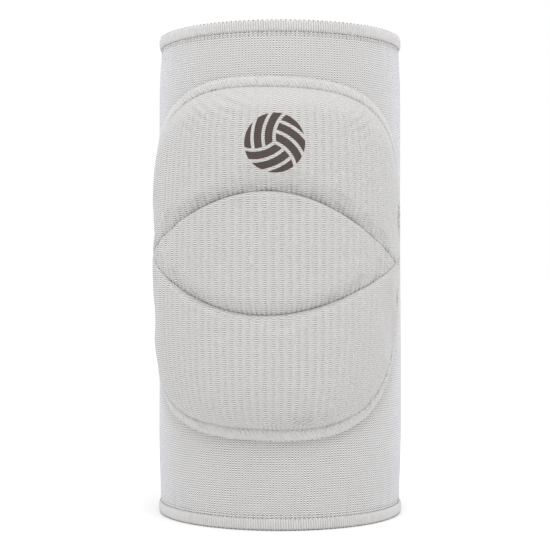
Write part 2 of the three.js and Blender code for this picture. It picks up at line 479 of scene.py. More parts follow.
def printBall(tree, mixed, shade):
    place = outOf(tree, "ShaderNodeUVMap", uv_map="fabric")
    local = vectorCalc(tree, "SUBTRACT", {0: place, 1: (ball["across"], ball["up"], 0)})
    local = vectorCalc(tree, "SCALE", {0: local, "Scale": 1 / ball["radius"]})

    def bands(turn):
        # distance from a seam's centre of bend, and which half of the ball the seam crosses
        turned = outOf(tree, "ShaderNodeVectorRotate", {"Vector": local, "Angle": math.radians(turn)},
                       rotation_type="Z_AXIS")
        ahead = outOf(tree, "ShaderNodeSeparateXYZ", {0: turned})
        away = vectorCalc(tree, "DISTANCE", {0: turned, 1: (0, -ball["bend"], 0)}, "Value")
        return calc(tree, "SUBTRACT", away, ball["bend"]), ahead

    def near(value):
        return calc(tree, "LESS_THAN", calc(tree, "ABSOLUTE", value), ball["line"])

    lines = 0.0
    arms = [bands(ball["tilt"] + 120 * k) for k in range(3)]
    for k, (off, ahead) in enumerate(arms):
        nextOff, nextAhead = arms[(k + 1) % 3]
        onArm = times(tree, near(off), calc(tree, "GREATER_THAN", ahead, 0.0))
        lines = calc(tree, "MAXIMUM", lines, onArm)
        # the seams beside this arm stop at the next arm
        before = calc(tree, "MAXIMUM", calc(tree, "LESS_THAN", nextOff, 0.0),
                      calc(tree, "LESS_THAN", nextAhead, 0.0))
        ownSide = times(tree, before, calc(tree, "GREATER_THAN", ahead, -0.1))
        for step in ball["steps"]:
            beside = times(tree, near(calc(tree, "SUBTRACT", off, step)), ownSide)
            lines = calc(tree, "MAXIMUM", lines, beside)
    span = vectorCalc(tree, "LENGTH", {0: local}, "Value")
    inked = times(tree, calc(tree, "LESS_THAN", span, 1.0), calc(tree, "SUBTRACT", 1.0, lines))
    ink = mixOf(tree, shade, *[scaledColour(ball["ink"], share) for share in ball["inkShades"]])
    tree.links.new(mixOf(tree, inked, mixed, ink), tree.nodes["Principled BSDF"].inputs["Base Color"])


threadLook = {
    "fibreScale": 2600.0,
    "patchScale": 420.0,
    "fibres": 0.4,
    "patches": 0.7,
    "depth": 0.06 * mm,
    "dark": 0.84,
    "light": 1.12,
}


def threadMaterial(name, colour, sheen):
    material = fabricMaterial(name, colour, sheen)
    tree = material.node_tree
    spot = addNode(tree, "ShaderNodeTexCoord").outputs["Object"]
    fibres = noiseAt(tree, spot, threadLook["fibreScale"], 2.0)
    patches = noiseAt(tree, spot, threadLook["patchScale"], 1.0)
    shade = timesPlus(tree, patches, threadLook["patches"], times(tree, fibres, threadLook["fibres"]))
    finishFabric(material, fibres, shade, colour, threadLook)
    return material


materials = {
    "sleeve": sleeveMaterial(),
    "pad": padMaterial("pad_knit", False),
    "printedPad": padMaterial("pad_knit_printed", True),
    "thread": threadMaterial("overlock_thread", (0.62, 0.612, 0.604), 0.5),
    "bandThread": threadMaterial("overlock_band_thread", (0.6, 0.592, 0.585), 0.4),
    "band": threadMaterial("overlock_band", (0.585, 0.577, 0.57), 0.3),
    # painted shade: the hems' core is coloured darker than their thread, so the gaps between the wraps read
    # as shade
    "core": threadMaterial("overlock_core_painted_shade", (0.45, 0.442, 0.435), 0.3),
    # the stitches are partly dark thread and partly painted shade: their dark colour stands in for the
    # shade in the stitch holes and gaps
    "seam": threadMaterial("seam_thread_and_shade", (0.24, 0.233, 0.23), 0.05),
    "padSeam": threadMaterial("pad_seam_thread_and_shade", (0.4, 0.392, 0.387), 0.1),
}
print("materials made")


# Mesh helpers

def newObject(name, mesh):
    made = bpy.data.objects.new(name, mesh)
    bpy.context.scene.collection.objects.link(made)
    return made


def meshObject(name, spots, faces, material, places=None, wrapWidth=None):
    mesh = bpy.data.meshes.new(name)
    mesh.from_pydata([tuple(s) for s in spots], [], faces)
    if material:
        mesh.materials.append(material)
    if places is not None:
        layer = mesh.uv_layers.new(name="fabric")
        order = np.empty(len(mesh.loops), dtype=int)
        mesh.loops.foreach_get("vertex_index", order)
        uv = np.asarray(places)[order]
        if wrapWidth:
            # the faces that close a ring carry on past its end
            ring = uv.reshape(-1, 4, 2)
            closing = np.ptp(ring[..., 0], axis=1, keepdims=True) > wrapWidth / 2
            ring[..., 0] += wrapWidth * (closing & (ring[..., 0] < 0))
        layer.data.foreach_set("uv", uv.ravel())
    mesh.shade_smooth()
    mesh.update()
    return newObject(name, mesh)


def setAttribute(made, name, values):
    layer = made.data.attributes.new(name, "FLOAT", "POINT")
    layer.data.foreach_set("value", np.asarray(values, dtype=float).ravel())


def gridFaces(columns, rows, start=0, flip=False, wrapColumns=False, wrapRows=False):
    # columns and rows count the spots each way, rows run fastest
    faces = []
    for i in range(columns if wrapColumns else columns - 1):
        for j in range(rows if wrapRows else rows - 1):
            a = start + i * rows + j
            b = start + ((i + 1) % columns) * rows + j
            c = start + ((i + 1) % columns) * rows + (j + 1) % rows
            d = start + i * rows + (j + 1) % rows
            faces.append((a, d, c, b) if flip else (a, b, c, d))
    return faces


def ringObject(name, section, material, steps, shape):
    # a closed ring round the sleeve: section is a closed list of (out, height) spots
    around = np.linspace(-0.5, 0.5, steps, endpoint=False) * tube["girth"]
    outs, heights = np.array(section).T
    grid = shape(around[:, None], heights[None, :], outs[None, :])
    places = np.stack(np.broadcast_arrays(around[:, None], heights[None, :]), axis=-1)
    faces = gridFaces(steps, len(section), wrapColumns=True, wrapRows=True)
    return meshObject(name, grid.reshape(-1, 3), faces, material, places.reshape(-1, 2), tube["girth"])


def withAway(shape, out):
    # a shape's spots so far out, and the way out of the cloth at each
    spots = shape(out)
    return spots, (shape(out + mm) - spots) / mm


# Sleeve

sleeveMesh = {
    "steps": 420,
    "rows": 150,
    "innerRows": 24,
    "gather": 0.22 * mm,     # small folds that the hems draw in
    "gatherRun": 9 * mm,
    "folds": ((1, 37, 0), (0.7, 53, 1.3), (0.5, 23, 2.1)),    # share, count round, start
    "swell": 0.25 * mm,      # slow unevenness of the tube
    "waves": ((3, 8, 0), (2, -11, 1)),    # count round, slant, start
    "furrow": 1.3 * mm,      # drawn in below the pad, beside its border,
    "furrowRun": 5 * mm,
    "furrowDown": (20 * mm, 60 * mm),     # more and more from the pad's middle down
}


def besidePad(around, height):
    # how far a spot of the sleeve lies outside the pad's outline
    rise = height - pad["centre"]
    share = math.cos(pad["turn"]) * math.cos(pad["lean"]) + math.sin(pad["turn"]) * math.sin(pad["lean"])
    across = (around * math.cos(pad["lean"]) - rise * math.sin(pad["lean"])) / share
    up = (rise * math.cos(pad["turn"]) + around * math.sin(pad["turn"])) / share
    across = across / (1 + pad["taper"] * np.clip(up / pad["halfHeight"], -1, 1))
    n = pad["roundness"]
    scale = (np.abs(across / pad["halfWidth"]) ** n + np.abs(up / pad["halfHeight"]) ** n) ** (1 / n)
    return np.hypot(across, up) * (1 - 1 / np.maximum(scale, 1e-6)), up


def sleeveShape(around, height, out):
    beside, up = besidePad(around, height)
    past = (beside - border["width"]) / sleeveMesh["furrowRun"]
    furrow = sleeveMesh["furrow"] * np.exp(-past ** 2) * smoothStep(-up, *sleeveMesh["furrowDown"])
    angle = around / tube["meanRadius"]
    fromEnd = np.minimum(height, tube["height"] - height)
    folds = sum(share * np.sin(count * angle + start) for share, count, start in sleeveMesh["folds"])
    slow = sum(np.sin(count * angle + slant * height / tube["height"] + start)
               for count, slant, start in sleeveMesh["waves"])
    move = sleeveMesh["gather"] * folds * np.exp(-fromEnd / sleeveMesh["gatherRun"])
    return onSleeve(around, height, out - furrow + move + sleeveMesh["swell"] * 0.5 * slow)


def makeSleeve():
    low, high = tube["endGap"], tube["height"] - tube["endGap"]
    outer = [(0.0, z) for z in np.linspace(low, high, sleeveMesh["rows"])]
    inner = [(-tube["wall"], z) for z in np.linspace(high, low, sleeveMesh["innerRows"])]
    return ringObject("sleeve_cloth", outer + inner, materials["sleeve"], sleeveMesh["steps"], sleeveShape)


sleevePiece = makeSleeve()
print("sleeve made")


# Geometry Nodes

def newGroup(name, *inputs):
    # a group that takes a mesh, the inputs (name, kind, value) and a material
    tree = bpy.data.node_groups.new(name, "GeometryNodeTree")
    for label, kind, value in (("Geometry", "Geometry", None), *inputs, ("Material", "Material", None)):
        socket = tree.interface.new_socket(label, in_out="INPUT", socket_type="NodeSocket" + kind)
        if value is not None:
            socket.default_value = value
    tree.interface.new_socket("Geometry", in_out="OUTPUT", socket_type="NodeSocketGeometry")
    return tree, tree.nodes.new("NodeGroupInput").outputs


def endGroup(tree, geometry, material):
    real = outOf(tree, "GeometryNodeRealizeInstances", {"Geometry": geometry})
    finished = outOf(tree, "GeometryNodeSetMaterial", {"Geometry": real, "Material": material})
    tree.links.new(finished, tree.nodes.new("NodeGroupOutput").inputs[0])
    return tree


def carried(tree, name, kind):
    # a value that each spot of the mesh carries
    return outOf(tree, "GeometryNodeInputNamedAttribute", {"Name": name}, data_type=kind)


def rowTree():
    # a row of small pieces along a path that carries the direction away from the cloth
    tree, given = newGroup("pieceRow", ("Piece", "Object", None), ("Count", "Int", 100),
                           ("Sway", "Float", 0.05), ("Tilt", "Float", 0.0), ("Smallest", "Float", 0.92),
                           ("Largest", "Float", 1.06), ("Seed", "Int", 1))
    curve = outOf(tree, "GeometryNodeMeshToCurve", {"Mesh": given["Geometry"]})
    spread = outOf(tree, "GeometryNodeResampleCurve", {"Curve": curve, "Count": given["Count"]})
    axes = {"Primary Axis": carried(tree, "away", "FLOAT_VECTOR"),
            "Secondary Axis": outOf(tree, "GeometryNodeInputTangent")}
    facing = outOf(tree, "FunctionNodeAxesToRotation", axes, primary_axis="Z", secondary_axis="X")
    shape = addNode(tree, "GeometryNodeObjectInfo", {"Object": given["Piece"]}).outputs["Geometry"]
    size = addNode(tree, "FunctionNodeRandomValue",
                   {2: given["Smallest"], 3: given["Largest"], "Seed": given["Seed"]}, data_type="FLOAT")
    placed = outOf(tree, "GeometryNodeInstanceOnPoints",
                   {"Points": spread, "Instance": shape, "Rotation": facing, "Scale": size.outputs[1]})
    swing = outOf(tree, "FunctionNodeRandomValue", {0: (-1, -1, -1), 1: (1, 1, 1), "Seed": given["Seed"]},
                  data_type="FLOAT_VECTOR")
    swung = vectorCalc(tree, "SCALE", {0: swing, "Scale": given["Sway"]})
    tilt = outOf(tree, "ShaderNodeCombineXYZ", {"Z": given["Tilt"]})
    turned = vectorCalc(tree, "ADD", {0: swung, 1: tilt})
    rotated = outOf(tree, "GeometryNodeRotateInstances", {"Instances": placed, "Rotation": turned})
    return endGroup(tree, rotated, given["Material"])


pieceRow = rowTree()


def pathObject(spots, away, closed):
    mesh = bpy.data.meshes.new("path")
    count = len(spots)
    edges = [(i, (i + 1) % count) for i in range(count if closed else count - 1)]
    mesh.from_pydata([tuple(s) for s in spots], edges, [])
    layer = mesh.attributes.new("away", "FLOAT_VECTOR", "POINT")
    layer.data.foreach_set("vector", np.asarray(away, dtype=float).ravel())
    return newObject("path", mesh)


def pathLength(spots, closed):
    ahead = np.roll(spots, -1, axis=0) if closed else spots[1:]
    return np.linalg.norm(ahead - (spots if closed else spots[:-1]), axis=1).sum()


def runGroup(source, tree, name, values):
    # runs a group on an object and returns the result as a plain mesh, with the source gone
    modifier = source.modifiers.new("group", "NODES")
    modifier.node_group = tree
    for label, value in values.items():
        modifier[tree.interface.items_tree[label].identifier] = value
    source.update_tag()
    graph = bpy.context.evaluated_depsgraph_get()
    mesh = bpy.data.meshes.new_from_object(source.evaluated_get(graph))
    mesh.name = name
    mesh.shade_smooth()
    bpy.data.objects.remove(source)
    return newObject(name, mesh)


def rowOf(name, piece, spots, away, closed, spacing, material, **values):
    count = round(pathLength(spots, closed) / spacing)
    return runGroup(pathObject(spots, away, closed), pieceRow, name,
                    {"Piece": piece, "Count": count, "Material": material, **values})


threadSides = 6


def sweep(name, centre, radius, closed):
    # a thread: a round section carried along a flat line of (sideways, outward) spots in the Y-Z plane
    centre = np.asarray(centre, dtype=float)
    count = len(centre)
    if closed:
        along = np.roll(centre, -1, axis=0) - np.roll(centre, 1, axis=0)
    else:
        along = np.gradient(centre, axis=0)
    along /= np.linalg.norm(along, axis=1, keepdims=True)
    normal = np.stack([-along[:, 1], along[:, 0]], axis=-1)
    angles = np.linspace(0, 2 * math.pi, threadSides, endpoint=False)
    # an open thread is drawn in at its ends
    fromEnd = np.minimum(np.arange(count), np.arange(count)[::-1])
    taper = np.ones(count) if closed else np.clip(fromEnd * 0.6 + 0.35, 0, 1)
    spots = []
    for i in range(count):
        for a in angles:
            y, z = centre[i] + normal[i] * radius * taper[i] * math.sin(a)
            spots.append((radius * taper[i] * math.cos(a), y, z))
    faces = gridFaces(count, threadSides, wrapColumns=closed, wrapRows=True)
    if not closed:
        faces += [tuple(range(threadSides))[::-1], tuple(range(len(spots) - threadSides, len(spots)))]
    return meshObject(name, spots, faces, None)


def dropPieces(*pieces):
    for piece in pieces:
        bpy.data.objects.remove(piece)


def stitchShape(length, radius):
    # a short bar that lies along the path
    bar = sweep("bar", [(length / part, 0) for part in (-2, -6, 6, 2)], radius, False)
    spots = np.empty(len(bar.data.vertices) * 3)
    bar.data.vertices.foreach_get("co", spots)
    spots = spots.reshape(-1, 3)[:, [1, 0, 2]] * (1, -1, 1)
    bar.data.vertices.foreach_set("co", spots.ravel())
    return bar


# Hems: a soft core with thread wrapped round it, and lines of knots beside it and on its rim

hem = {
    "height": 5.6 * mm,
    "foot": 1.4 * mm,
    "gap": 0.3 * mm,
    "wrap": 0.9 * mm,
    "thread": 0.53 * mm,      # radius of a wrapped thread
    "threadPitch": 1.13 * mm,
    "knotPitch": 2.15 * mm,
    "knot": 0.9 * mm,
    "knotRadius": 0.19 * mm,
    "edge": (0.12 * mm, 0.15 * mm),    # a line of knots: how far out of the sleeve, and past the hem
    "line": (-0.05 * mm, 1.5 * mm),    # another, further along the sleeve
    "crest": (0.5 * mm, 0.25 * mm),    # and one on the hem's rim: how far out, and in from the end
    "core": 0.45 * mm,        # how far the core lies inside the wrap
    "soft": 1.1 * mm,         # how far the core's corners are rounded
    "steps": 320,
    "strandSteps": 22,
    "squareness": 0.5,        # of a wrapped thread's loop: 1 is an ellipse, 0 a box
}


def hemSection(inset):
    # the hem's U in section, (out, height above its end), drawn in all round by the inset
    out = hem["gap"] + hem["wrap"] - inset
    into = -tube["wall"] - hem["gap"] - hem["wrap"] + inset
    low, high = inset, hem["height"] - inset
    soft, bend = hem["soft"], hem["soft"] * 0.3
    channelOut, channelIn = hem["gap"], -tube["wall"] - hem["gap"]
    return [
        (into + soft, low), (out - soft, low), (out - bend, low + bend), (out, low + soft),
        (out, high - soft), (out - bend, high - bend), (channelOut, high),
        (channelOut, hem["foot"]), (channelIn, hem["foot"]),
        (channelIn, high), (into + bend, high - bend), (into, high - soft),
        (into, low + soft), (into + bend, low + bend),
    ]


def ovalPath(shape, out, height):
    around = np.linspace(0, tube["girth"], hem["steps"], endpoint=False)
    return withAway(lambda away: shape(around, np.full(hem["steps"], height), away), out)


def rounded(values):
    return np.sign(values) * np.abs(values) ** hem["squareness"]


def makeHem(name, atTop):
    def lift(z):
        return tube["height"] - z if atTop else z

    def coreShape(around, height, out):
        # the hem keeps the girth of the sleeve's end
        end = np.full_like(height, tube["height"] if atTop else 0.0)
        spots = onSleeve(around, end, out)
        spots[..., 2] = lift(height)
        return spots

    section = hemSection(hem["core"])
    core = ringObject(name + "_core", section[::-1] if atTop else section, materials["core"],
                      hem["steps"], coreShape)
    halfHeight = hem["height"] / 2 - hem["thread"]
    halfWide = tube["wall"] / 2 + hem["gap"] + hem["wrap"] - hem["thread"]
    angles = np.linspace(0, 2 * math.pi, hem["strandSteps"], endpoint=False)
    loop = np.stack([halfHeight * rounded(np.cos(angles)), halfWide * rounded(np.sin(angles))], axis=-1)
    strand = sweep("strand", loop, hem["thread"], True)

    def oval(out, z):
        spots, away = ovalPath(onSleeve, out, tube["height"] if atTop else 0.0)
        spots[:, 2] = lift(z)
        return spots, away

    wraps = rowOf(name + "_wraps", strand, *oval(-tube["wall"] / 2, hem["height"] / 2), True,
                  hem["threadPitch"], materials["thread"], Sway=0.012, Tilt=0.05, Smallest=0.985,
                  Largest=1.008, Seed=3 if atTop else 5)
    knot = stitchShape(hem["knot"], hem["knotRadius"])

    # the knots' dark thread is partly painted shade of the gaps beside and on the hem
    def knots(label, spots, away, seed):
        return rowOf(f"{name}_{label}", knot, spots, away, True, hem["knotPitch"], materials["seam"],
                     Sway=0.1, Seed=seed)

    rows = []
    for label, seed in (("edge", 31), ("line", 32)):
        out, past = hem[label]
        rows.append(knots(label, *ovalPath(sleeveShape, out, lift(hem["height"] + past)), seed))
    # the crest's stitches look up at the top hem and down at the bottom one
    spots, away = oval(*hem["crest"])
    upright = np.zeros_like(away)
    upright[:, 2] = 1.0 if atTop else -1.0
    rows.append(knots("crest", spots, upright, 33))
    dropPieces(strand, knot)
    return [core, wraps, *rows]


topHem = makeHem("top_hem", True)
bottomHem = makeHem("bottom_hem", False)
print("hems made")


# Padded panels

def panelShape(columns, rows, halfSpan, lowerEdge, upperEdge):
    # spots over the panel, closer together towards its edges
    x = np.sin(np.linspace(-math.pi / 2, math.pi / 2, columns))
    y = (1 + np.sin(np.linspace(-math.pi / 2, math.pi / 2, rows))) / 2
    y = 0.5 * y + 0.5 * np.linspace(0, 1, rows)
    across = np.repeat(halfSpan * x[:, None], rows, axis=1)
    low, high = lowerEdge(across), upperEdge(across)
    return across, low + (high - low) * y[None, :]


def knitPlace(across, up):
    # the ribs stand upright whatever the pad's turn
    around = across * math.cos(pad["turn"]) + up * math.sin(pad["lean"])
    return around * pad["spread"], up * math.cos(pad["lean"]) - across * math.sin(pad["turn"])


def closedPanel(name, across, up, front, backRows, material):
    # the front, a plain back against the sleeve, and the wall between them
    columns, rows = across.shape
    pick = np.round(np.linspace(0, rows - 1, backRows)).astype(int)
    back = onPad(across[:, pick], up[:, pick], pad["gap"])
    start = columns * rows
    faces = gridFaces(columns, rows) + gridFaces(columns, backRows, start, flip=True)
    for i in range(columns - 1):
        low, lowNext = start + i * backRows, start + (i + 1) * backRows
        faces.append((i * rows, low, lowNext, (i + 1) * rows))
        top, topNext = i * rows + rows - 1, (i + 1) * rows + rows - 1
        faces.append((top, topNext, lowNext + backRows - 1, low + backRows - 1))
    for i, flip in ((0, False), (columns - 1, True)):
        for k in range(backRows - 1):
            wall = [i * rows + j for j in range(pick[k], pick[k + 1] + 1)]
            wall += [start + i * backRows + k + 1, start + i * backRows + k]
            faces.append(tuple(wall[::-1] if flip else wall))
    spots = np.concatenate([front.reshape(-1, 3), back.reshape(-1, 3)])
    wide, high = knitPlace(across, up)
    places = np.concatenate([np.stack([wide, high], -1).reshape(-1, 2),
                             np.stack([wide[:, pick], high[:, pick]], -1).reshape(-1, 2)])
    return meshObject(name, spots, faces, material, places)


def refined(values, count):
    # a smooth curve through evenly spaced values, along the first axis
    last = len(values) - 1
    t = np.linspace(0, last, count)
    i = np.minimum(t.astype(int), last - 1)
    f = (t - i).reshape(-1, *[1] * (values.ndim - 1))
    p = np.concatenate([2 * values[:1] - values[1:2], values, 2 * values[-1:] - values[-2:-1]])
    a, b, c, d = p[i], p[i + 1], p[i + 2], p[i + 3]
    return b + 0.5 * f * (c - a + f * (2 * a - 5 * b + 4 * c - d + f * (3 * (b - c) + d - a)))


def puffed(across, up, front):
    # lets the cover swell as cloth over foam, held at its seams, and returns how far it moved
    columns, rows = across.shape
    rough = closedPanel("rough", across, up, front, rows, None)
    held = rough.vertex_groups.new(name="held")
    seam = np.zeros((columns, rows), dtype=bool)
    seam[[0, -1], :] = True
    seam[:, [0, -1]] = True
    fixed = list(np.nonzero(seam.ravel())[0]) + list(range(columns * rows, 2 * columns * rows))
    held.add([int(v) for v in fixed], 1.0, "REPLACE")
    cloth = rough.modifiers.new("cloth", "CLOTH")
    settings = cloth.settings
    settings.quality = 6
    settings.mass = 0.3
    settings.tension_stiffness = settings.compression_stiffness = 12
    settings.shear_stiffness = 6
    settings.bending_stiffness = 0.4
    settings.shrink_min = -0.008
    settings.use_pressure = True
    settings.uniform_pressure_force = 4
    settings.vertex_group_mass = "held"
    settings.effector_weights.gravity = 0
    cloth.point_cache.frame_start, cloth.point_cache.frame_end = 1, panelMesh["frames"]
    for step in range(1, panelMesh["frames"] + 1):
        bpy.context.scene.frame_set(step)
    graph = bpy.context.evaluated_depsgraph_get()
    after = rough.evaluated_get(graph).to_mesh()
    spots = np.empty(len(after.vertices) * 3)
    after.vertices.foreach_get("co", spots)
    bpy.data.objects.remove(rough)
    bpy.context.scene.frame_set(1)
    move = spots.reshape(-1, 3)[:columns * rows].reshape(columns, rows, 3) - front
    length = np.linalg.norm(move, axis=-1, keepdims=True)
    print("cloth moved up to", round(float(length.max()) / mm, 2), "mm")
    return move * np.minimum(1, panelMesh["cap"] / np.maximum(length, 1e-9))


ribs = {
    "height": 0.13 * mm,
    "waver": 0.9 * mm,
    "waverScale": 60.0,
    "crown": (-1.0, 0.1),             # which part of the ripple stands up
    "topSlope": (7 * mm, 12.5 * mm),  # ribs lie flat where the cover is stretched over the foam's top edge,
    "beside": (2 * mm, 5.5 * mm),     # beside the outer seam
    "groove": (0.4 * mm, 2 * mm),     # and beside a groove
    "drawn": 0.4,                     # how much flatter they are at the pad's sides
}


def ribTree():
    tree, given = newGroup("ribKnit", ("Pitch", "Float", None), ("Height", "Float", None),
                           ("Waver", "Float", None))
    noise = outOf(tree, "ShaderNodeTexNoise", {"Scale": ribs["waverScale"], "Detail": 1.0})
    uneven = times(tree, calc(tree, "SUBTRACT", noise, 0.5), given["Waver"])
    place = calc(tree, "ADD", carried(tree, "across", "FLOAT"), uneven)
    phase = calc(tree, "DIVIDE", place, given["Pitch"])
    crown = smoothed(tree, calc(tree, "COSINE", times(tree, phase, 2 * math.pi)), *ribs["crown"])
    lift = times(tree, times(tree, crown, given["Height"]), carried(tree, "ribbed", "FLOAT"))
    normal = outOf(tree, "GeometryNodeInputNormal")
    offset = vectorCalc(tree, "SCALE", {0: normal, "Scale": lift})
    moved = outOf(tree, "GeometryNodeSetPosition", {"Geometry": given["Geometry"], "Offset": offset})
    return endGroup(tree, moved, given["Material"])


ribKnit = ribTree()


def ribbedShare(across, up):
    fromTop = outlineHeight(across) - np.abs(up)
    fromSide = outlineWidth(up) - np.abs(across)
    inset = fromTop * fromSide / np.maximum(np.hypot(fromTop, fromSide), 1e-9)
    slope = np.where(up > 0, smoothStep(fromTop, *ribs["topSlope"]), 1)
    fromGroove = np.minimum(np.abs(up - upperGroove(across)), np.abs(up - lowerGroove(across)))
    tension = 1 - ribs["drawn"] * (across / pad["halfWidth"]) ** 2
    return tension * slope * smoothStep(inset, *ribs["beside"]) * smoothStep(fromGroove, *ribs["groove"])


def towardSeam(across, up, low, high, rng):
    # how much of a seam's pull reaches a spot, mostly from the seam below it
    spots = np.linspace(-pad["halfWidth"], pad["halfWidth"], panelMesh["pullSpots"])
    uneven = np.interp(across, spots, rng.uniform(*panelMesh["pullRange"], panelMesh["pullSpots"]))
    uneven = uneven * smoothStep(pad["halfWidth"] - np.abs(across), *panelMesh["pullSide"])
    below = np.exp(-np.maximum(up - low, 0) / panelMesh["seamRun"])
    above = np.exp(-np.maximum(high - up, 0) / panelMesh["seamRun"])
    return uneven * (below + panelMesh["pullAbove"] * above)


def stitchWave(across, up):
    return 0.5 - 0.5 * np.cos(2 * math.pi * knitPlace(across, up)[0] / panelMesh["seamPitch"])


# Small slanting folds where the cover is eased into its seam, one to a row: their middle (across, up),
# angle in degrees across the folds, pitch, reach, length and depth. Lengths are in millimetres.
gathers = (
    (12, -75, -50, 1.8, 5, 5, 0.4),
    (20, -74.5, -53, 1.9, 5, 5, 0.48),
    (28, -73.5, -57, 1.75, 5, 5, 0.48),
    (35, -72, -60, 1.8, 4, 5, 0.38),
    (-22, 71, 70, 4.6, 8, 9, 0.4),
    (-40, 66, 60, 4.1, 8, 9, 0.45),
    (44, 64, -60, 4.4, 8, 9, 0.4),
)


def gathered(across, up):
    out = np.zeros_like(across)
    for where, high, angle, pitch, reach, length, depth in gathers:
        x, y = across * pad["spread"] - where * mm, up - high * mm
        turn = math.radians(angle)
        along = x * math.cos(turn) + y * math.sin(turn)
        beside = y * math.cos(turn) - x * math.sin(turn)
        fade = np.exp(-(along / (reach * mm)) ** 2 - (beside / (length * mm)) ** 2)
        out += depth * mm * np.sin(2 * math.pi * along / (pitch * mm)) * fade
    return out


def makePanel(name, halfSpan, lowerEdge, upperEdge, rows, material, seed):
    rng = np.random.default_rng(seed)
    across, up = panelShape(panelMesh["columns"], rows, halfSpan, lowerEdge, upperEdge)
    out = pad["gap"] + paddingAt(across, up)
    drawn = towardSeam(across, up, lowerEdge(across), upperEdge(across), rng)
    out = out - panelMesh["seamPull"] * drawn * stitchWave(across, up) + gathered(across, up)
    front = onPad(across, up, out)
    roughAcross, roughUp = panelShape(panelMesh["roughColumns"], panelMesh["roughRows"],
                                      halfSpan, lowerEdge, upperEdge)
    roughFront = onPad(roughAcross, roughUp, pad["gap"] + paddingAt(roughAcross, roughUp))
    move = puffed(roughAcross, roughUp, roughFront)
    move = refined(move, panelMesh["columns"])
    front = front + refined(move.transpose(1, 0, 2), rows).transpose(1, 0, 2)
    made = closedPanel("plain", across, up, front, panelMesh["backRows"], material)
    spare = np.zeros(panelMesh["columns"] * panelMesh["backRows"])
    setAttribute(made, "across", np.concatenate([knitPlace(across, up)[0].ravel(), spare]))
    setAttribute(made, "ribbed", np.concatenate([ribbedShare(across, up).ravel(), spare]))
    # how far the seam draws the cover in, which also sets the painted shade in its folds
    setAttribute(made, "drawn", np.concatenate([drawn.ravel(), spare]))
    return runGroup(made, ribKnit, name, {"Pitch": padCloth["rib"], "Height": ribs["height"],
                                          "Waver": ribs["waver"], "Material": material})


panelHalfSpan = pad["halfWidth"] * float(squared(np.array(pad["sideTip"] / pad["halfHeight"])))
fineAcross = np.linspace(0, pad["lensHalf"], 2001)
lensHeight = upperGroove(fineAcross) - lowerGroove(fineAcross) - pad["grooveGap"]
lensHalfSpan = float(fineAcross[lensHeight > pad["lensTip"]].max())
halfGap = pad["grooveGap"] / 2
upperPad = makePanel("upper_pad_cover", panelHalfSpan, lambda a: upperGroove(a) + halfGap, outlineHeight,
                     panelMesh["upperRows"], materials["printedPad"], 11)
lensPad = makePanel("lens_pad_cover", lensHalfSpan, lambda a: lowerGroove(a) + halfGap,
                    lambda a: upperGroove(a) - halfGap, panelMesh["lensRows"], materials["pad"], 12)
lowerPad = makePanel("lower_pad_cover", panelHalfSpan, lambda a: -outlineHeight(a),
                     lambda a: lowerGroove(a) - halfGap, panelMesh["lowerRows"], materials["pad"], 13)
print("panels made")


# Border: a soft band with overlock thread across it, and the stitches beside it and in the grooves

def bandHeight(share):
    # the band runs down from the seam to its outer edge
    straight = border["high"] + (border["low"] - border["high"]) * share
    return straight + border["crown"] * np.sin(math.pi * share)


def outlinePath(offset, out):
    # evenly spaced spots round the pad's outline, so far outside it
    fine = np.linspace(0, 2 * math.pi, 6001)[:-1]

    def power(x):
        return np.sign(x) * np.abs(x) ** (2 / pad["roundness"])

    line = np.stack([pad["halfWidth"] * power(np.cos(fine)), pad["halfHeight"] * power(np.sin(fine))], -1)
    run = np.concatenate([[0], np.cumsum(np.linalg.norm(np.roll(line, -1, 0) - line, axis=1))])
    share = np.linspace(0, run[-1], border["steps"], endpoint=False)
    closedLine = np.concatenate([line, line[:1]])
    even = np.stack([np.interp(share, run, closedLine[:, k]) for k in (0, 1)], -1)
    along = np.roll(even, -1, 0) - np.roll(even, 1, 0)
    along /= np.linalg.norm(along, axis=1, keepdims=True)
    across = even[:, 0][:, None] + along[:, 1][:, None] * np.atleast_2d(offset)
    up = even[:, 1][:, None] - along[:, 0][:, None] * np.atleast_2d(offset)
    return onPad(across, up, np.atleast_2d(out))


def outlineRow(offset, out):
    return withAway(lambda away: outlinePath(offset, away)[:, 0], out)


def makeBorder():
    share = np.linspace(0, 1, border["bandSteps"])
    reach = border["width"] + border["overlap"]
    offset = np.concatenate([share * reach, [reach + border["skirt"], 0]]) - border["overlap"]
    out = np.concatenate([bandHeight(share) - border["coreSink"], [-border["sink"], -border["sink"]]])
    grid = outlinePath(offset, out)
    faces = gridFaces(border["steps"], len(offset), wrapColumns=True, wrapRows=True, flip=True)
    core = meshObject("pad_border_core", grid.reshape(-1, 3), faces, materials["band"])
    middle = pad["gap"] + border["width"] / 2
    base, away = outlineRow(middle, 0.0)
    outerOnPlus = makesOutward(base, away, outlineRow(middle + mm, 0.0)[0] - base)
    share = np.linspace(0, 1, border["threadSteps"])
    lay = (share - 0.5) * (border["width"] - border["thread"])
    lay = lay - border["overlap"] - border["tuck"] * (1 - share)
    arch = np.stack([lay if outerOnPlus else -lay, bandHeight(share) - border["threadSink"]], -1)
    strand = sweep("strand", arch, border["thread"], False)
    wraps = rowOf("pad_border_wraps", strand, base, away, True, border["threadPitch"],
                  materials["bandThread"], Sway=0.1, Tilt=0.5, Smallest=0.94, Largest=1.02, Seed=7)
    loopShape = stitchShape(border["loopPitch"] * border["loopShare"], border["loop"])
    edge = outlinePath(border["width"] - border["loopIn"], border["low"] * border["loopHigh"])[:, 0]
    loops = rowOf("pad_border_loops", loopShape, edge, away, True, border["loopPitch"],
                  materials["bandThread"], Sway=0.1, Tilt=-0.25, Seed=8)
    dropPieces(strand, loopShape)
    return core, wraps, loops


def makesOutward(base, away, side):
    # whether a piece's own Y looks out of the outline once it lies along the path
    along = np.roll(base, -1, axis=0) - base
    return float(np.einsum("ij,ij->i", np.cross(away, along), side).sum()) > 0


borderPieces = makeBorder()
print("border made")

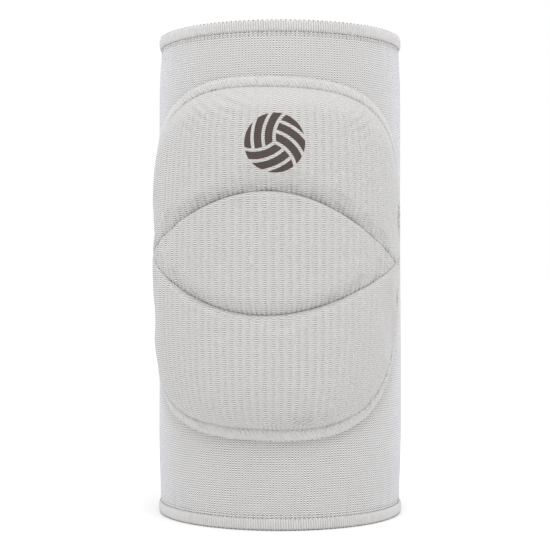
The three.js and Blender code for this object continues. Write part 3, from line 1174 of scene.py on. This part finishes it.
stitches = {
    "radius": 0.1 * mm,
    "seamLength": 1.4 * mm,
    "seamPitch": 2.3 * mm,
    "seamOut": 0.02 * mm,       # above the band
    "grooveRadius": 0.13 * mm,
    "grooveLength": 1.5 * mm,
    "groovePitch": 2.1 * mm,
    "grooveOut": 0.05 * mm,     # above the cover
    "grooveShare": 0.985,       # of the lens's half span
    "tackPitch": 1.1 * mm,
    "tackOut": -0.2 * mm,
    "tackSpots": (-1.0, 0.6, 2.2, 3.8),    # millimetres past the lens's tips
}


def padRow(across, up, out):
    # spots that lie on the cover, so far above it
    base = pad["gap"] + paddingAt(across, up) + out
    return withAway(lambda away: onPad(across, up, away), base)


# the seam and groove stitches' dark thread is partly painted shade of the crevices they lie in
def makeStitches():
    seamBar = stitchShape(stitches["seamLength"], stitches["radius"])
    rows = [rowOf("seam_stitches", seamBar, *outlineRow(pad["gap"], border["high"] + stitches["seamOut"]),
                  True, stitches["seamPitch"], materials["padSeam"], Sway=0.03, Seed=9)]
    grooveBar = stitchShape(stitches["grooveLength"], stitches["grooveRadius"])
    reach = lensHalfSpan * stitches["grooveShare"]
    across = np.linspace(-reach, reach, 400)
    for label, line, thread, seed in (("upper_groove_stitches", upperGroove, "seam", 21),
                                      ("lower_groove_stitches", lowerGroove, "padSeam", 22)):
        rows.append(rowOf(label, grooveBar, *padRow(across, line(across), stitches["grooveOut"]), False,
                          stitches["groovePitch"], materials[thread], Sway=0.03, Seed=seed))
    tip = lensHalfSpan + np.array(stitches["tackSpots"]) * mm
    for label, side in (("left_tack", -1), ("right_tack", 1)):
        rows.append(rowOf(label, grooveBar, *padRow(side * tip, 0 * tip, stitches["tackOut"]), False,
                          stitches["tackPitch"], materials["thread"], Sway=0.2, Smallest=1.1, Largest=1.4,
                          Seed=23))
    dropPieces(seamBar, grooveBar)
    return rows


stitchRows = makeStitches()
print("stitches made")

# What rides on what
for piece in (sleevePiece, *topHem, *bottomHem, upperPad, lensPad, lowerPad, *borderPieces, *stitchRows):
    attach(piece, "root")
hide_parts("sleeve")
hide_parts("top_hem")
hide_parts("bottom_hem")
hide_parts("upper_pad")
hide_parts("lens_pad")
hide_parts("lower_pad")
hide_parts("pad_border")

# Studio: a pale floor, a white surround and soft light from the front and above

studio = {
    "floorSize": 80,
    "floorTone": 0.92,
    "surround": 1.0,
    "overhead": 1.2,          # how much brighter the surround is overhead,
    "rise": (0.25, 0.95),     # between these heights, as shares of straight up
    "keyPower": 6.5,
    "keySize": 0.8,
    "keySpot": (0.1, -0.7, 1.5),
}


def makeStudio():
    half = studio["floorSize"] / 2
    floor = meshObject("floor", [(-half, -half, 0), (half, -half, 0), (half, half, 0), (-half, half, 0)],
                       [(0, 1, 2, 3)], None)
    paint = bpy.data.materials.new("pale_floor")
    paint.use_nodes = True
    shader = paint.node_tree.nodes["Principled BSDF"]
    shader.inputs["Base Color"].default_value = (*[studio["floorTone"]] * 3, 1)
    shader.inputs["Roughness"].default_value = 0.9
    floor.data.materials.append(paint)
    world = bpy.data.worlds.new("surround")
    bpy.context.scene.world = world
    world.use_nodes = True
    tree = world.node_tree
    sky = tree.nodes["Background"]
    sky.inputs["Color"].default_value = (1, 1, 1, 1)
    toward = addNode(tree, "ShaderNodeTexCoord").outputs["Generated"]
    height = addNode(tree, "ShaderNodeSeparateXYZ", {0: toward}).outputs[2]
    brighter = smoothed(tree, height, *studio["rise"])
    tree.links.new(blendBy(tree, brighter, studio["surround"], studio["overhead"]), sky.inputs["Strength"])
    lamp = bpy.data.lights.new("key", "AREA")
    lamp.energy = studio["keyPower"]
    lamp.shape = "DISK"
    lamp.size = studio["keySize"]
    key = newObject("key", lamp)
    key.location = studio["keySpot"]
    aim = Vector((0, 0, tube["height"] / 2)) - key.location
    key.rotation_euler = aim.to_track_quat("-Z", "Y").to_euler()


makeStudio()

camera = {
    "azimuth": math.radians(6),
    "distance": 690 * mm,
    "lens": 90,
    "sensor": 36,
    "aside": -2.5 * mm,      # the object stands a little to the right of the picture's middle
}


def makeCamera():
    data = bpy.data.cameras.new("camera")
    data.lens = camera["lens"]
    data.sensor_width = camera["sensor"]
    made = newObject("camera", data)
    turn = camera["azimuth"]
    axis = Vector((tube["middleX"], tube["middleY"], tube["height"] / 2))
    back = Vector((math.sin(turn), -math.cos(turn), 0))
    right = Vector((math.cos(turn), math.sin(turn), 0))
    made.location = axis + back * camera["distance"] + right * camera["aside"]
    made.rotation_euler = (math.pi / 2, 0, turn)
    bpy.context.scene.camera = made


makeCamera()
bpy.context.scene.view_settings.view_transform = "Standard"
print("studio made")
